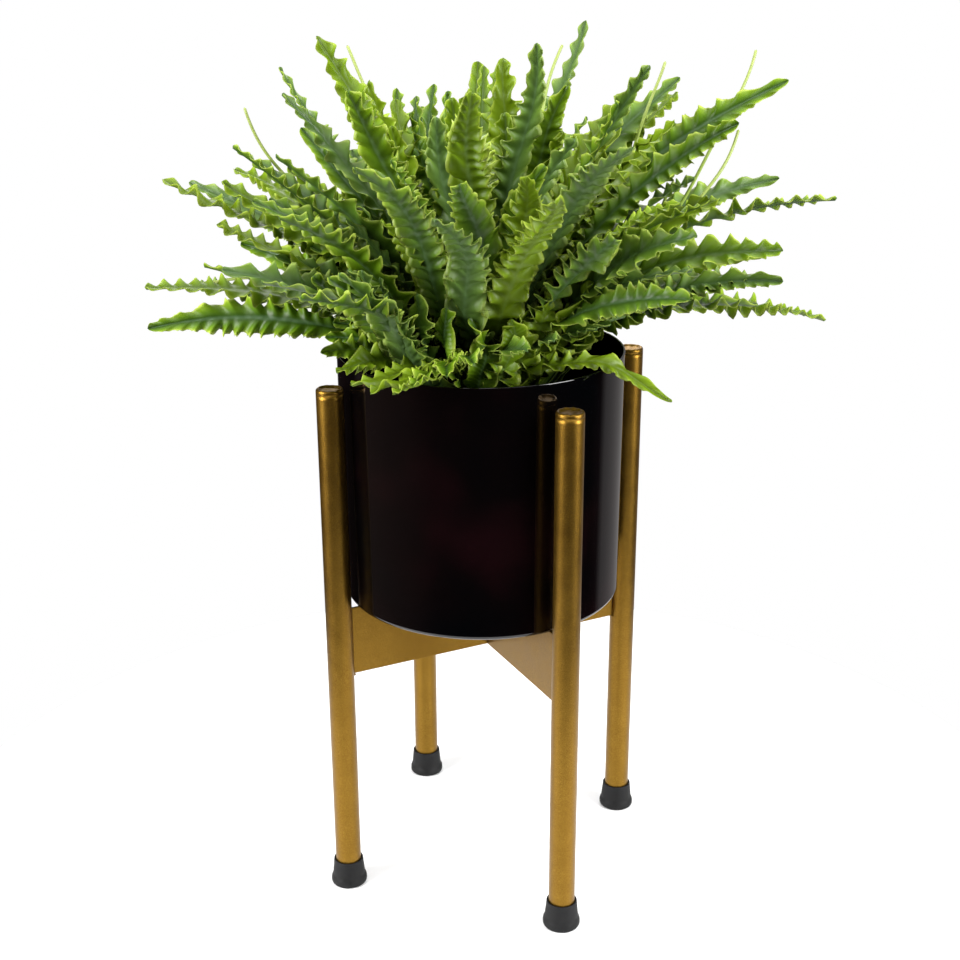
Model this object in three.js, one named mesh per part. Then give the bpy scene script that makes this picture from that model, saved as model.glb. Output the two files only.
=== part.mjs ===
// A potted artificial fern on a four-legged metal stand.
// Millimetres and degrees, +Z up, origin on the floor under the middle of the stand.
import * as THREE from 'three';

// Pot
const potDiameter = 203;
const potDraft = 1;
const potHeight = 180;
const potWall = 1.4;
const potCornerRadius = 5;
const potOffCentre = 5.7;
const potOffCentreAngle = 239;

// Stand
const legTubeDiameter = 19;
const legTubeWall = 1.3;
const legHeight = 393;
const potSideClearance = 8.3;
const potRestHeight = 227.5;
const braceHeight = 52.5;
const braceThickness = 2;
const capThickness = 3;
const capDish = 1.3;
const capPlugDepth = 6;
const tackRadius = 1.6;

// Rubber ferrules on the leg ends
const ferruleWall = 1.4;
const ferruleFlare = 2.4;
const ferruleHeight = 20.6;
const ferruleFloor = 3.5;
const ferruleFlareHeight = 7;
const ferruleSkirtShare = 0.6;
const ferruleEdgeRadius = 2;
const ferruleWaistShare = 0.55;
const ferruleMouthRise = 1;
const ferruleMouthRound = 0.6;

// Fern insert
const foamDiameter = 118;
const foamTaper = 6;
const foamTopBelowRim = 40;
const stalkDiameter = 14;
const stalkDepth = 70;
const stalkPoint = 3;
const stalkPointLength = 12;
const hubRadius = 20;
const spraysInSpiral = 32;
const goldenAngle = 137.508;
const spiralStart = 20;
const lowestElevation = 26;
const highestElevation = 86;
const droopLow = 0.185;
const droopHigh = 0.05;
const frondLength = 248;
const crownLength = 196;
const lengthVariation = 18;
const crownStart = 62;
const swayReach = 90;
const swayPlan = 9;
const swayHeight = 5;
const swayX = { y: 52, z: 90, start: 2.381 };
const swayY = { z: 60, x: 70, start: 4.572 };
const swayZ = { x: 60, y: 75 };
const frontAzimuth = -72;
const uprightShare = 0.36;
const uprightReach = 90;
const frondWidth = 20;
const frondThickness = 1.5;
const petioleWidth = 3.6;
const openingShare = 0.35;
const taperShare = 0.7;
const tipNarrowing = 0.7;
const frondRoll = 14;
const sideFrondAngle = 15;
const sideFrondDrop = 2;
const sideFrondShare = 0.8;
const sideFrondVariation = 0.08;
const steepestCosine = 0.3;
const singleAbove = 68;
const sideSwingLength = 80;
const splitDistance = 66;
const rimRoot = 6;
const rimElevation = 30;
const rimDroop = 0.33;

// Fits
const touchGap = 0.3;
const plugClearance = 0.35;
const stalkClearance = 0.4;
const slotClearance = 0.35;
const rootGap = 0.6;

// Facets
const tubeFacets = 20;
const potFacets = 60;
const palmSteps = 2;
const frondSteps = 6;

const legTubeRadius = legTubeDiameter / 2;
const legBoreRadius = legTubeRadius - legTubeWall;
const legCircleRadius = potDiameter / 2 + potSideClearance + legTubeRadius;
const legAngles = { front_right: -45, back_right: 45, back_left: 135, front_left: 225 };
const potBottomZ = potRestHeight + touchGap;
const potX = potOffCentre * Math.cos(THREE.MathUtils.degToRad(potOffCentreAngle));
const potY = potOffCentre * Math.sin(THREE.MathUtils.degToRad(potOffCentreAngle));

const goldPaint = { color: 0x9a7428, roughness: 0.42, metalness: 0.75 };
const darkEnamel = { color: 0x120a0c, roughness: 0.06, metalness: 0.0 };
const blackRubber = { color: 0x141416, roughness: 0.75, metalness: 0.0 };
const foamGreen = { color: 0x2f4a2b, roughness: 0.95, metalness: 0.0 };
const fernGreen = { color: 0x5f9a33, roughness: 0.5, metalness: 0.0 };
const stemGreen = { color: 0x4d6f2c, roughness: 0.6, metalness: 0.0 };

function addPiece(parent, name, geometry, finish) {
  const piece = new THREE.Mesh(geometry, new THREE.MeshStandardMaterial(finish));
  piece.name = name;
  parent.add(piece);
  return piece;
}

// Quarter arc of a profile around (centreR, centreZ), from one angle to another.
function arcPoints(centreR, centreZ, radius, fromDeg, toDeg, steps) {
  const points = [];
  for (let i = 0; i <= steps; i += 1) {
    const angle = THREE.MathUtils.degToRad(fromDeg + ((toDeg - fromDeg) * i) / steps);
    points.push([centreR + radius * Math.cos(angle), centreZ + radius * Math.sin(angle)]);
  }
  return points;
}

// Six times the volume that a triangle mesh encloses, positive when its faces point out.
function signedVolume(geometry) {
  const { array } = geometry.getAttribute('position');
  const index = geometry.getIndex().array;
  const a = new THREE.Vector3();
  const b = new THREE.Vector3();
  const c = new THREE.Vector3();
  let volume = 0;
  for (let i = 0; i < index.length; i += 3) {
    a.fromArray(array, index[i] * 3);
    b.fromArray(array, index[i + 1] * 3);
    c.fromArray(array, index[i + 2] * 3);
    volume += a.dot(b.cross(c));
  }
  return volume;
}

function facingOut(geometry) {
  if (signedVolume(geometry) < 0) {
    const index = geometry.getIndex().array;
    for (let i = 0; i < index.length; i += 3) {
      const first = index[i];
      index[i] = index[i + 1];
      index[i + 1] = first;
    }
  }
  return geometry;
}

// A solid of revolution about Z from [radius, height] pairs. The profile starts and ends on
// the axis, or closes on itself.
function turned(profile, facets) {
  const points = profile.map(([radius, height]) => new THREE.Vector2(radius, height));
  const geometry = new THREE.LatheGeometry(points, facets);
  geometry.rotateX(Math.PI / 2);
  return facingOut(geometry);
}

function legTube() {
  const bottom = ferruleFloor + touchGap;
  const top = legHeight - capThickness - touchGap;
  return turned([
    [legBoreRadius, bottom],
    [legTubeRadius, bottom],
    [legTubeRadius, top],
    [legBoreRadius, top],
    [legBoreRadius, bottom],
  ], tubeFacets);
}

// A disc that closes the tube's top, with a raised rounded lip, a dished middle and a short
// plug that stands in the bore.
function legCap() {
  const underside = legHeight - capThickness;
  const lip = capThickness / 2;
  const plugRadius = legBoreRadius - plugClearance;
  return turned([
    [0, underside - capPlugDepth],
    [plugRadius, underside - capPlugDepth],
    [plugRadius, underside],
    ...arcPoints(legTubeRadius - lip, legHeight - lip, lip, -90, 90, 3),
    [legTubeRadius - lip - capDish, legHeight - capDish],
    [0, legHeight - capDish],
  ], tubeFacets);
}

// A flared cup with a closed bottom that the leg end stands in.
function ferrule() {
  const bore = legTubeRadius + touchGap;
  const topRadius = bore + ferruleWall;
  const baseRadius = topRadius + ferruleFlare;
  const flareRadius = topRadius + ferruleFlare * ferruleWaistShare;
  const edge = ferruleEdgeRadius;
  return turned([
    [0, 0],
    ...arcPoints(baseRadius - edge, edge, edge, -90, 0, 2),
    [baseRadius, ferruleFlareHeight * ferruleSkirtShare],
    [flareRadius, ferruleFlareHeight],
    [topRadius, ferruleHeight - ferruleMouthRise],
    [topRadius - ferruleMouthRound, ferruleHeight],
    [bore, ferruleHeight],
    [bore, ferruleFloor],
    [0, ferruleFloor],
  ], tubeFacets);
}

// A sheet on edge from leg to leg, with a slot for half its height in the middle, where the
// other brace crosses it. The slot opens upwards or downwards.
function braceSheet(slotOpensUp) {
  const half = legCircleRadius - legTubeRadius - touchGap;
  const slotHalf = braceThickness / 2 + slotClearance;
  const bottom = potRestHeight - braceHeight;
  const top = potRestHeight;
  const middle = potRestHeight - braceHeight / 2;
  const shape = new THREE.Shape();
  shape.moveTo(-half, bottom);
  if (!slotOpensUp) {
    shape.lineTo(-slotHalf, bottom);
    shape.lineTo(-slotHalf, middle + slotClearance / 2);
    shape.lineTo(slotHalf, middle + slotClearance / 2);
    shape.lineTo(slotHalf, bottom);
  }
  shape.lineTo(half, bottom);
  shape.lineTo(half, top);
  if (slotOpensUp) {
    shape.lineTo(slotHalf, top);
    shape.lineTo(slotHalf, middle - slotClearance / 2);
    shape.lineTo(-slotHalf, middle - slotClearance / 2);
    shape.lineTo(-slotHalf, top);
  }
  shape.lineTo(-half, top);
  shape.closePath();
  const geometry = new THREE.ExtrudeGeometry(shape, { depth: braceThickness, bevelEnabled: false });
  geometry.translate(0, 0, -braceThickness / 2);
  geometry.rotateX(Math.PI / 2);
  return geometry;
}

// A short weld bead across the sheet under its lower corner, against the tube.
function weldTack() {
  const length = braceThickness + 2 * tackRadius;
  const geometry = new THREE.CapsuleGeometry(tackRadius, length, 3, 10);
  const reach = legTubeRadius + touchGap + tackRadius;
  geometry.translate(legCircleRadius - reach, 0, potRestHeight - braceHeight - touchGap - tackRadius);
  return geometry;
}

function buildStand() {
  const stand = new THREE.Group();
  for (const [corner, angle] of Object.entries(legAngles)) {
    const leg = new THREE.Group();
    leg.rotation.z = THREE.MathUtils.degToRad(angle);
    stand.add(leg);
    const upright = new THREE.Group();
    upright.position.x = legCircleRadius;
    leg.add(upright);
    addPiece(upright, `leg_tube_${corner}`, legTube(), goldPaint);
    addPiece(upright, `leg_cap_${corner}`, legCap(), goldPaint);
    addPiece(upright, `ferrule_${corner}`, ferrule(), blackRubber);
    addPiece(leg, `weld_tack_${corner}`, weldTack(), goldPaint);
  }
  const lowerBrace = addPiece(stand, 'brace_slot_up', braceSheet(true), goldPaint);
  lowerBrace.rotation.z = THREE.MathUtils.degToRad(legAngles.back_right);
  const upperBrace = addPiece(stand, 'brace_slot_down', braceSheet(false), goldPaint);
  upperBrace.rotation.z = THREE.MathUtils.degToRad(legAngles.back_left);
  return stand;
}

function potShell() {
  const outerTop = potDiameter / 2;
  const outerBottom = potDiameter / 2 - potDraft;
  const corner = potCornerRadius;
  const innerCorner = corner - potWall;
  return turned([
    [0, 0],
    ...arcPoints(outerBottom - corner, corner, corner, -90, 0, 3),
    [outerTop, potHeight - potWall / 2],
    [outerTop - potWall / 2, potHeight],
    [outerTop - potWall, potHeight - potWall / 2],
    ...arcPoints(outerBottom - corner, corner, innerCorner, 0, -90, 2),
    [0, potWall],
  ], potFacets);
}

const foamBottomZ = potWall + touchGap;
const foamTopZ = potHeight - foamTopBelowRim;
const hubZ = foamTopZ + touchGap + hubRadius;
const hubCentre = new THREE.Vector3(0, 0, hubZ);

function foamBlock() {
  const socket = stalkDiameter / 2 + stalkClearance;
  const socketFloor = foamTopZ - stalkDepth - stalkClearance;
  const topRadius = foamDiameter / 2;
  return turned([
    [0, foamBottomZ],
    [topRadius - foamTaper, foamBottomZ],
    [topRadius, foamTopZ - foamTaper],
    [topRadius - foamTaper, foamTopZ],
    [socket, foamTopZ],
    [socket, socketFloor],
    [0, socketFloor],
  ], tubeFacets * 2);
}

// The stalk stands in the foam's socket and carries a round hub that the sprays grow from.
function bushStem() {
  const stalk = stalkDiameter / 2;
  const neck = THREE.MathUtils.radToDeg(Math.acos(stalk / hubRadius));
  return turned([
    [0, foamTopZ - stalkDepth],
    [stalk - stalkPoint, foamTopZ - stalkDepth],
    [stalk, foamTopZ - stalkDepth + stalkPointLength],
    ...arcPoints(0, hubZ, hubRadius, -neck, 90, 7),
  ], tubeFacets);
}

// Even, repeatable variation between -1 and 1.
function vary(index, channel) {
  return Math.sin(index * 12.9898 + channel * 78.233);
}

// A gentle wave through the whole bush, nothing at the hub and fuller further out.
// It moves neighbouring fronds together, so it bends them without letting them cross.
function sway(point) {
  const local = point.clone().sub(hubCentre);
  const fullness = 1 - Math.exp(-((local.length() / swayReach) ** 2));
  const dx = swayPlan * Math.sin(local.y / swayX.y + local.z / swayX.z + swayX.start);
  const dy = swayPlan * Math.sin(local.z / swayY.z + local.x / swayY.x + swayY.start);
  const dz = swayHeight * Math.sin(local.x / swayZ.x - local.y / swayZ.y);
  return point.add(new THREE.Vector3(dx, dy, dz).multiplyScalar(fullness));
}

// The fronds at the front and back stand more upright than at the sides. Each point keeps its
// distance from the hub, and its elevation moves towards the vertical by a share that is full
// straight ahead and behind, falls to nothing at the sides and starts from nothing at the hub.
function raised(point) {
  const local = point.sub(hubCentre);
  const distance = local.length();
  const azimuth = Math.atan2(local.y, local.x);
  const facing = Math.abs(Math.cos(azimuth - THREE.MathUtils.degToRad(frontAzimuth)));
  const fullness = 1 - Math.exp(-((distance / uprightReach) ** 2));
  const elevation = Math.atan2(local.z, Math.hypot(local.x, local.y));
  const steeper = elevation + uprightShare * facing * fullness * (Math.PI / 2 - elevation);
  const radius = distance * Math.cos(steeper);
  const offset = new THREE.Vector3(Math.cos(azimuth), Math.sin(azimuth), 0).multiplyScalar(radius);
  offset.z = distance * Math.sin(steeper);
  return offset.add(hubCentre);
}

const rimReach = potDiameter / 2 - hubRadius;

// The centre line is an arc in a vertical plane: it leaves the hub at its elevation and turns
// down by droop degrees in each millimetre. The plane of a side frond swings out sideways as it
// leaves the hub, and a frond that hangs sinks further once it is past the rim.
function frondPoint(frond, distance) {
  const droop = THREE.MathUtils.degToRad(frond.droop);
  const rise = THREE.MathUtils.degToRad(frond.elevation);
  const root = THREE.MathUtils.degToRad(frond.root);
  const start = hubRadius + rootGap;
  const radius = start * Math.cos(root) + (Math.sin(rise) - Math.sin(rise - droop * distance)) / droop;
  const arch = start * Math.sin(root) + (Math.cos(rise - droop * distance) - Math.cos(rise)) / droop;
  const height = arch - frond.hang * THREE.MathUtils.smoothstep(distance, rimReach, frond.length);
  const spread = frond.side * THREE.MathUtils.smoothstep(distance, 0, frond.swingLength);
  const angle = THREE.MathUtils.degToRad(frond.azimuth + spread);
  const point = new THREE.Vector3(radius * Math.cos(angle), radius * Math.sin(angle), hubZ + height);
  return sway(frond.onRim ? point : raised(point));
}

// Width along the blade: a narrow stem, then parallel sides, then a taper to the tip.
function frondWidthAt(frond, share) {
  const opening = THREE.MathUtils.smoothstep(share, 0, openingShare);
  const closing = 1 - tipNarrowing * THREE.MathUtils.smoothstep(share, taperShare, 1);
  return frond.stem + (frond.width - frond.stem) * opening * closing;
}

// The two edge points of a frond at a distance from the hub, and the direction of its upper face.
function frondStation(frond, distance) {
  const here = frondPoint(frond, distance);
  const along = frondPoint(frond, distance + 1).sub(here).normalize();
  const across = new THREE.Vector3(-along.y, along.x, 0).normalize();
  const twisted = THREE.MathUtils.smoothstep(distance, splitDistance, frond.length);
  across.applyAxisAngle(along, THREE.MathUtils.degToRad(frond.roll * twisted));
  const half = frondWidthAt(frond, distance / frond.length) / 2;
  return {
    left: here.clone().addScaledVector(across, half),
    right: here.clone().addScaledVector(across, -half),
    up: new THREE.Vector3().crossVectors(along, across).normalize(),
  };
}

// A sheet with a wall: its faces above, the same faces turned over below, and a strip between
// them along every edge that only one face uses.
function thickened(points, ups, faces, thickness) {
  const count = points.length;
  const below = points.map((point, i) => point.clone().addScaledVector(ups[i], -thickness));
  const index = [];
  const outline = new Map();
  for (const [a, b, c] of faces) {
    index.push(a, b, c, a + count, c + count, b + count);
    for (const [from, to] of [[a, b], [b, c], [c, a]]) {
      if (!outline.delete(`${to} ${from}`)) {
        outline.set(`${from} ${to}`, [from, to]);
      }
    }
  }
  for (const [from, to] of outline.values()) {
    index.push(from, from + count, to, to, from + count, to + count);
  }
  const geometry = new THREE.BufferGeometry().setFromPoints([...points, ...below]);
  geometry.setIndex(index);
  geometry.computeVertexNormals();
  return facingOut(geometry);
}

// A spray is one sheet that leaves the hub as a narrow stem, widens to a palm and splits into its
// fronds, which part from each other further out. The fronds are in order from right to left.
function spraySheet(fronds) {
  const points = [];
  const ups = [];
  const faces = [];
  const add = (point, up) => {
    points.push(point);
    ups.push(up);
    return points.length - 1;
  };
  const rightmost = fronds[0];
  const leftmost = fronds[fronds.length - 1];
  let row = [];
  for (let i = 0; i < palmSteps; i += 1) {
    const distance = (splitDistance * i) / palmSteps;
    const first = frondStation(rightmost, distance);
    const last = frondStation(leftmost, distance);
    const next = [add(first.right, first.up), add(last.left, last.up)];
    if (row.length) {
      faces.push([row[0], next[0], row[1]], [row[1], next[0], next[1]]);
    }
    row = next;
  }
  const stations = fronds.map((frond) => frondStation(frond, splitDistance));
  const split = [add(stations[0].right, stations[0].up)];
  for (let i = 1; i < stations.length; i += 1) {
    split.push(add(stations[i - 1].left.clone().lerp(stations[i].right, 0.5), stations[i].up));
  }
  const end = stations[stations.length - 1];
  split.push(add(end.left, end.up));
  const middle = Math.floor(split.length / 2);
  for (let i = 0; i < split.length - 1; i += 1) {
    faces.push([i < middle ? row[0] : row[1], split[i], split[i + 1]]);
  }
  faces.push([row[0], split[middle], row[1]]);
  fronds.forEach((frond, k) => {
    let edge = [split[k], split[k + 1]];
    for (let i = 1; i < frondSteps; i += 1) {
      const station = frondStation(frond, THREE.MathUtils.lerp(splitDistance, frond.length, i / frondSteps));
      const next = [add(station.right, station.up), add(station.left, station.up)];
      faces.push([edge[0], next[0], edge[1]], [edge[1], next[0], next[1]]);
      edge = next;
    }
    const tip = add(frondPoint(frond, frond.length), frondStation(frond, frond.length).up);
    faces.push([edge[0], tip, edge[1]]);
  });
  return thickened(points, ups, faces, frondThickness);
}

// Fronds that stand out from the spiral: an index in it, and what differs.
const spiralChanges = {
  0: { length: 240 },
  1: { length: 256 },
  3: { length: 226 },
  4: { length: 232 },
  9: { length: 236 },
  10: { azimuth: 312 },
  11: { length: 230 },
  12: { length: 205 },
  13: { length: 264 },
  17: { length: 240 },
  21: { length: 272 },
  23: { elevation: 57 },
  25: { length: 222 },
  26: { length: 226 },
  27: { length: 192 },
  28: { length: 186 },
  29: { length: 182 },
  30: { length: 236, azimuth: 193, elevation: 73 },
};

// Low fronds that hang over the pot's rim, and how far each reaches past it.
const rimFronds = [
  { azimuth: -53, side: 34, swingLength: 130, past: 44.5, hang: 20 },
  { azimuth: -100, side: 4, past: 4.5, hang: 2 },
  { azimuth: 84, side: 12, past: 18.5, hang: 6, elevation: 34 },
  { azimuth: 186, side: -8, past: 16.5, hang: 6, elevation: 34 },
];

function droopAt(elevation) {
  const share = (elevation - lowestElevation) / (highestElevation - lowestElevation);
  return THREE.MathUtils.lerp(droopLow, droopHigh, share);
}

// Sprays spread evenly over the dome: each turns a golden angle on from the last and stands
// a little higher.
function spiralSpray(index) {
  const share = (index + 0.5) / spraysInSpiral;
  const low = Math.sin(THREE.MathUtils.degToRad(lowestElevation));
  const high = Math.sin(THREE.MathUtils.degToRad(highestElevation));
  const elevation = THREE.MathUtils.radToDeg(Math.asin(THREE.MathUtils.lerp(low, high, share)));
  const crown = THREE.MathUtils.smoothstep(elevation, crownStart, highestElevation);
  return {
    azimuth: spiralStart + index * goldenAngle,
    elevation,
    droop: droopAt(elevation),
    length: THREE.MathUtils.lerp(frondLength, crownLength, crown) + lengthVariation * vary(index, 1),
    hands: elevation > singleAbove ? [0] : [-1, 0, 1],
    ...spiralChanges[index],
  };
}

// A spray is a main frond and one on each side of it, grown together at the stem.
function sprayGeometry(spray, index) {
  const main = {
    side: 0,
    swingLength: sideSwingLength,
    hang: 0,
    root: spray.elevation,
    roll: frondRoll * vary(index, 2),
    width: frondWidth,
    stem: petioleWidth,
    ...spray,
  };
  const cosine = Math.cos(THREE.MathUtils.degToRad(spray.elevation));
  const swing = sideFrondAngle / Math.max(cosine, steepestCosine);
  const fronds = spray.hands.map((hand) => {
    if (hand === 0) {
      return main;
    }
    return {
      ...main,
      side: hand * swing,
      elevation: spray.elevation - sideFrondDrop,
      length: spray.length * (sideFrondShare + sideFrondVariation * vary(index, 3 + hand)),
      roll: frondRoll * vary(index, 5 + hand),
    };
  });
  return spraySheet(fronds);
}

function buildFern() {
  const fern = new THREE.Group();
  addPiece(fern, 'foam_block', foamBlock(), foamGreen);
  addPiece(fern, 'bush_stem', bushStem(), stemGreen);
  for (let i = 0; i < spraysInSpiral; i += 1) {
    const name = `fern_spray_${String(i + 1).padStart(2, '0')}`;
    addPiece(fern, name, sprayGeometry(spiralSpray(i), i), fernGreen);
  }
  rimFronds.forEach((frond, i) => {
    const low = { elevation: rimElevation, droop: rimDroop, root: rimRoot, hands: [0], onRim: true };
    const spray = { ...low, ...frond, length: rimReach + frond.past };
    addPiece(fern, `rim_frond_${i + 1}`, sprayGeometry(spray, spraysInSpiral + i), fernGreen);
  });
  return fern;
}

const planter = new THREE.Group();
planter.add(buildStand());
const pottedFern = new THREE.Group();
pottedFern.position.set(potX, potY, potBottomZ);
pottedFern.add(buildFern());
addPiece(pottedFern, 'pot_shell', potShell(), darkEnamel);
planter.add(pottedFern);

export default planter;
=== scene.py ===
import math

import bpy
import numpy as np
from mathutils import Matrix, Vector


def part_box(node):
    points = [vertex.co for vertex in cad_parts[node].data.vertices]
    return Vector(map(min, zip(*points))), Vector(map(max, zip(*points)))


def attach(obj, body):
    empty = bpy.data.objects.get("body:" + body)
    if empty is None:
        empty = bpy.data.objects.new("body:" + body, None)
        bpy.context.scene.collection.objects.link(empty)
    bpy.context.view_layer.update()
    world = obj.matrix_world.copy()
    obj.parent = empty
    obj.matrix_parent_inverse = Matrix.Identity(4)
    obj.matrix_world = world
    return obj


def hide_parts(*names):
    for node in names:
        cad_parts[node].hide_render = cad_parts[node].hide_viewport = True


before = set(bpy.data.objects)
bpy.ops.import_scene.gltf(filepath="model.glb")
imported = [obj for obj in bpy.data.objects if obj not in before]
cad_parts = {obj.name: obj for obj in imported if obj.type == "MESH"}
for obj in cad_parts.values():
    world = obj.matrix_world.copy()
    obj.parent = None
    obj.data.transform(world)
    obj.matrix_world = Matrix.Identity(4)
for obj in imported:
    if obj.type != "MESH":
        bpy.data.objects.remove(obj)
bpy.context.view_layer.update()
print("frame loaded", len(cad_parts), "nodes")

corners = ["front_right", "back_right", "back_left", "front_left"]


# the middle of a node's box
def nodeCentre(node):
    low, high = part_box(node)
    return (np.array(low) + np.array(high)) / 2


# 0 below a, 1 above b, and 3t^2 - 2t^3 between them
def smoothStep(x, a, b):
    t = np.clip((np.asarray(x, float) - a) / (b - a), 0, 1)
    return t * t * (3 - 2 * t)


# sine of a large multiple of the index, so the same index always gives the same value in -1..1
def vary(index, channel):
    return math.sin(index * 12.9898 + channel * 78.233)


# sum of a few sine waves in three directions, a smooth lumpy field in about -1..1
def lumps(points, size, seed, waves=6, share=3.5):
    rng = np.random.default_rng(seed)
    total = np.zeros(points.shape[:-1])
    for _ in range(waves):
        wave = rng.normal(size=3)
        wave *= 2 * math.pi / (size * np.linalg.norm(wave))
        total += np.sin(points @ wave + rng.uniform(0, 2 * math.pi))
    return total / share


# quads between neighbouring rows and columns of a grid; a closed direction joins its end to its start
def gridQuads(rows, cols, closeRows=False, closeCols=True, first=0):
    r = np.arange(rows if closeRows else rows - 1)
    c = np.arange(cols if closeCols else cols - 1)
    r, c = np.meshgrid(r, c, indexing="ij")
    nextR, nextC = (r + 1) % rows, (c + 1) % cols
    quads = np.stack([r * cols + c, r * cols + nextC, nextR * cols + nextC, nextR * cols + c], -1)
    return quads.reshape(-1, 4) + first


# rings of points with their distance from the axis multiplied
def widened(ring, factor):
    return np.concatenate([ring[..., :2] * factor[..., None], ring[..., 2:]], -1)


# a fan of triangles from one point to a ring
def fan(pole, ring, outward):
    nextRing = np.roll(ring, -1)
    tri = np.stack([np.full(len(ring), pole), ring, nextRing], -1)
    return tri if outward else tri[:, ::-1]


# rings joined by quads and closed by a fan at each end; the two end points come after the rings
def closedTube(rows, cols):
    count = rows * cols
    ring = np.arange(cols)
    return [gridQuads(rows, cols), fan(count, ring, False), fan(count + 1, ring + count - cols, True)]


def addMesh(name, points, faces, uv=None, values=None):
    mesh = bpy.data.meshes.new(name)
    lists = [f for block in faces for f in np.asarray(block).tolist()]
    mesh.from_pydata(np.asarray(points, float).tolist(), [], lists)
    if uv is not None:
        layer = mesh.uv_layers.new(name="UVMap")
        loopVertex = np.zeros(len(mesh.loops), int)
        mesh.loops.foreach_get("vertex_index", loopVertex)
        layer.data.foreach_set("uv", uv[loopVertex].astype(np.float32).ravel())
    for key, numbers in (values or {}).items():
        attribute = mesh.attributes.new(key, "FLOAT", "POINT")
        attribute.data.foreach_set("value", np.asarray(numbers, np.float32))
    mesh.polygons.foreach_set("use_smooth", np.ones(len(mesh.polygons), bool))
    mesh.update()
    piece = bpy.data.objects.new(name, mesh)
    bpy.context.scene.collection.objects.link(piece)
    return piece


# positive when the faces point out: six times the volume, by the sum of corner products
def meshVolume(piece):
    mesh = piece.data
    mesh.calc_loop_triangles()
    co = np.zeros(len(mesh.vertices) * 3)
    mesh.vertices.foreach_get("co", co)
    tri = np.zeros(len(mesh.loop_triangles) * 3, int)
    mesh.loop_triangles.foreach_get("vertices", tri)
    a, b, c = co.reshape(-1, 3)[tri.reshape(-1, 3)].transpose(1, 0, 2)
    return float((a * np.cross(b, c)).sum())


def faceOut(piece):
    if meshVolume(piece) < 0:
        piece.data.flip_normals()
    return piece


# a profile of (radius, height) turned about the vertical line through the centre: each point of
# it goes round a circle. A profile whose ends are on the axis gets a single point at each end.
def turnedPiece(name, profile, facets, centre, shape=None):
    profile = np.asarray(profile, float)
    onAxis = profile[0, 0] < 1e-9
    rows = profile[1:-1] if onAxis else profile[:-1]
    angle = np.arange(facets) * 2 * math.pi / facets
    radius = rows[:, :1]
    ring = np.stack([radius * np.cos(angle), radius * np.sin(angle), rows[:, 1:] + 0 * angle], -1)
    if shape is not None:
        ring = shape(ring)
    points = ring.reshape(-1, 3)
    faces = [gridQuads(len(rows), facets, closeRows=True)]
    if onAxis:
        poles = np.array([[0, 0, profile[0, 1]], [0, 0, profile[-1, 1]]])
        points = np.vstack([points, poles])
        faces = closedTube(len(rows), facets)
    return faceOut(addMesh(name, points + np.asarray(centre), faces))


# points on a circle round (r, z), from one angle to another in degrees
def arc(r, z, radius, start, end, steps):
    angle = np.radians(np.linspace(start, end, steps + 1))
    return np.stack([r + radius * np.cos(angle), z + radius * np.sin(angle)], -1).tolist()


# extra points along each straight stretch of a profile, none further apart than the step
def divided(profile, step):
    out = []
    for a, b in zip(profile[:-1], profile[1:]):
        count = max(1, int(math.ceil(math.dist(a, b) / step)))
        share = np.arange(count)[:, None] / count
        out += (np.array(a) * (1 - share) + np.array(b) * share).tolist()
    return out + [list(profile[-1])]


def newMaterial(name, **sockets):
    material = bpy.data.materials.new(name)
    material.use_nodes = True
    shader = material.node_tree.nodes["Principled BSDF"]
    for key, value in sockets.items():
        shader.inputs[key].default_value = value
    return material, material.node_tree, shader


# an input gets a link from another node's output, or a plain value
def link(node, key, value):
    if isinstance(value, bpy.types.NodeSocket):
        node.id_data.links.new(value, node.inputs[key])
    else:
        node.inputs[key].default_value = value


def addNode(tree, kind, sockets=None, **settings):
    node = tree.nodes.new(kind)
    for key, value in settings.items():
        setattr(node, key, value)
    for key, value in (sockets or {}).items():
        link(node, key, value)
    return node


def noiseNode(vector, scale, detail=3.0, roughness=0.5):
    sockets = {"Vector": vector, "Scale": scale, "Detail": detail, "Roughness": roughness}
    return addNode(vector.id_data, "ShaderNodeTexNoise", sockets).outputs["Fac"]


def rampNode(value, stops):
    node = addNode(value.id_data, "ShaderNodeValToRGB", {"Fac": value})
    ramp = node.color_ramp
    while len(ramp.elements) < len(stops):
        ramp.elements.new(0.5)
    for element, (position, colour) in zip(ramp.elements, stops):
        element.position = position
        element.color = (*colour, 1)
    return node.outputs["Color"]


def rangeNode(value, low, high, toLow, toHigh):
    sockets = {"Value": value, "From Min": low, "From Max": high, "To Min": toLow, "To Max": toHigh}
    return addNode(value.id_data, "ShaderNodeMapRange", sockets).outputs["Result"]


def mathNode(operation, a, b=0.0):
    return addNode(a.id_data, "ShaderNodeMath", {0: a, 1: b}, operation=operation).outputs[0]


def mixNode(tree, factor, a, b, blend="MIX"):
    sockets = {0: factor, 6: a, 7: b}
    return addNode(tree, "ShaderNodeMix", sockets, data_type="RGBA", blend_type=blend).outputs[2]


def bumpNode(height, strength, distance, normal=None):
    sockets = {"Height": height, "Strength": strength, "Distance": distance}
    if normal is not None:
        sockets["Normal"] = normal
    return addNode(height.id_data, "ShaderNodeBump", sockets).outputs["Normal"]


def objectPlace(tree):
    return addNode(tree, "ShaderNodeTexCoord").outputs["Object"]


def dress(piece, material):
    piece.data.materials.clear()
    piece.data.materials.append(material)
    return piece


view = {
    "distance": 0.9989, "height": 0.6717, "azimuth": 18.43, "pitch": 20.06, "turn": 0.31,
    "roll": -0.24, "lens": 54.57, "sensor": 36, "nearest": 0.05,
}


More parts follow.
